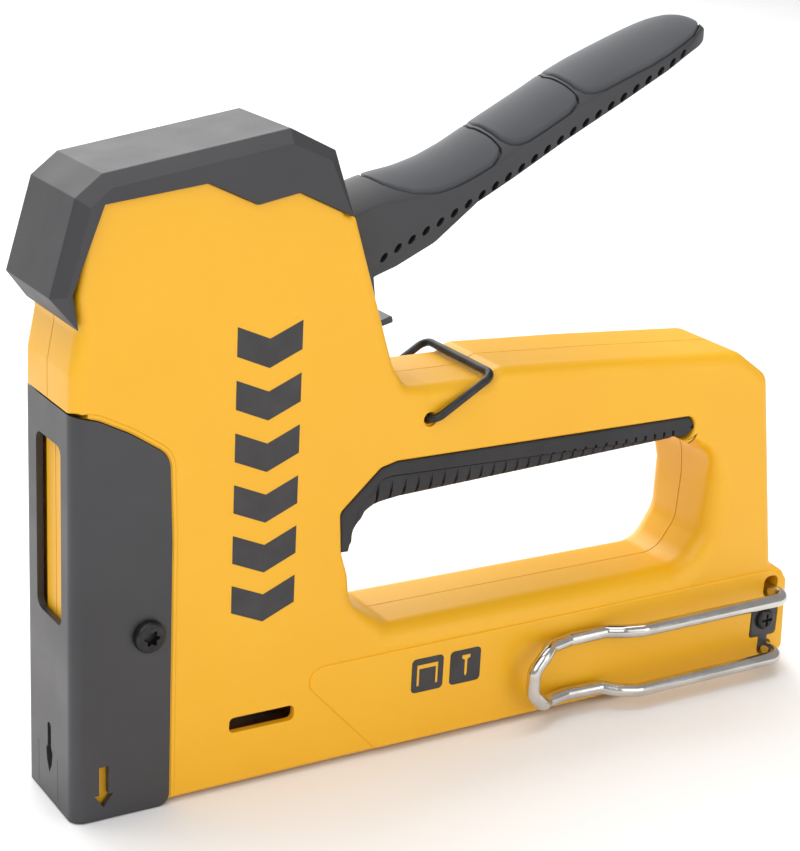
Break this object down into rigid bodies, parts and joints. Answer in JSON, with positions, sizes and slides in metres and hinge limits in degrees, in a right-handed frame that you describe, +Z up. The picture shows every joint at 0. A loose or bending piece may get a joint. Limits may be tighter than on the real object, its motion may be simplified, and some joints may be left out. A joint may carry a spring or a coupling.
{
  "type": "staple gun",
  "caption": "Hand staple gun: split moulded body round a finger opening, steel nose, squeeze lever lifting a sprung striker, sliding staple magazine, wire lever lock and wire belt hook.",
  "frame": {"origin": "middle of the nose cover's front bottom edge, on the face that is pressed to the work", "axes": "+X to the rear of the tool, +Z up along the nose, +Y across to the side with the case screws"},
  "size_m": [0.1945, 0.0364, 0.1608],
  "materials": {
    "yellow_plastic": "satin moulded, warm yellow",
    "black_plastic": "fine textured, near black",
    "soft_pads": "soft-touch dark grey",
    "black_rubber": "matt black",
    "coated_steel": "black coating, satin",
    "black_screws": "black oxide",
    "bright_wire": "bright plated wire",
    "spring_steel": "plain bright steel"
  },
  "bodies": {
    "frame": {"housing_left": "yellow_plastic", "housing_right": "yellow_plastic", "case_screw_1": "black_screws", "case_screw_2": "black_screws", "case_screw_3": "black_screws", "case_screw_4": "black_screws", "case_screw_5": "black_screws", "case_screw_6": "black_screws", "case_screw_7": "black_screws", "nose_cover": "coated_steel", "nose_screw_left": "black_screws", "nose_screw_right": "black_screws", "nose_plate": "spring_steel", "top_cap": "black_plastic", "finger_insert": "black_rubber", "lever_pin": "spring_steel", "pivot_bush": "spring_steel", "return_spring": "spring_steel", "bumper": "black_rubber", "spring_seat": "black_plastic", "drive_spring": "spring_steel", "belt_hook": "bright_wire", "hook_clamp": "coated_steel", "hook_screw": "black_screws"},
    "lever": {"lever_shell": "black_plastic", "lever_core": "coated_steel", "lever_pad_front": "soft_pads", "lever_pad_middle": "soft_pads", "lever_pad_rear": "soft_pads", "lift_pin": "spring_steel"},
    "striker": {"striker": "spring_steel", "driver_blade": "spring_steel"},
    "lock": {"lock_bail": "coated_steel"},
    "magazine": {"magazine_tray": "spring_steel", "staple_rail": "spring_steel", "pusher_rod": "spring_steel", "pusher_spring": "spring_steel", "magazine_latch": "black_plastic"},
    "pusher": {"staple_pusher": "black_plastic"}
  },
  "joints": [
    {"name": "lever_swing", "type": "hinge", "parent": "frame", "child": "lever", "pos_m": [0.05565, 0, 0.106], "axis": [0, 1, 0], "range_deg": [0, 26], "stiffness_Nm_per_rad": 2, "springref_deg": -17.19, "deforming": ["return_spring"]},
    {"name": "striker_lift", "type": "slide", "parent": "frame", "child": "striker", "axis": [0, 0, 1], "range_m": [0, 0.0136], "deforming": ["drive_spring"]},
    {"name": "lock_swing", "type": "hinge", "parent": "frame", "child": "lock", "pos_m": [0.08135, 0, 0.078], "axis": [0, -1, 0], "range_deg": [0, 90]},
    {"name": "magazine_slide", "type": "slide", "parent": "frame", "child": "magazine", "axis": [1, 0, 0], "range_m": [0, 0.09]},
    {"name": "pusher_slide", "type": "slide", "parent": "magazine", "child": "pusher", "axis": [1, 0, 0], "range_m": [0, 0.12], "stiffness_N_per_m": 15, "springref_m": -0.1, "deforming": ["pusher_spring"]}
  ],
  "couplings": [
    {"joint": "striker_lift", "follows": "lever_swing", "m_per_rad": 0.0297}
  ]
}
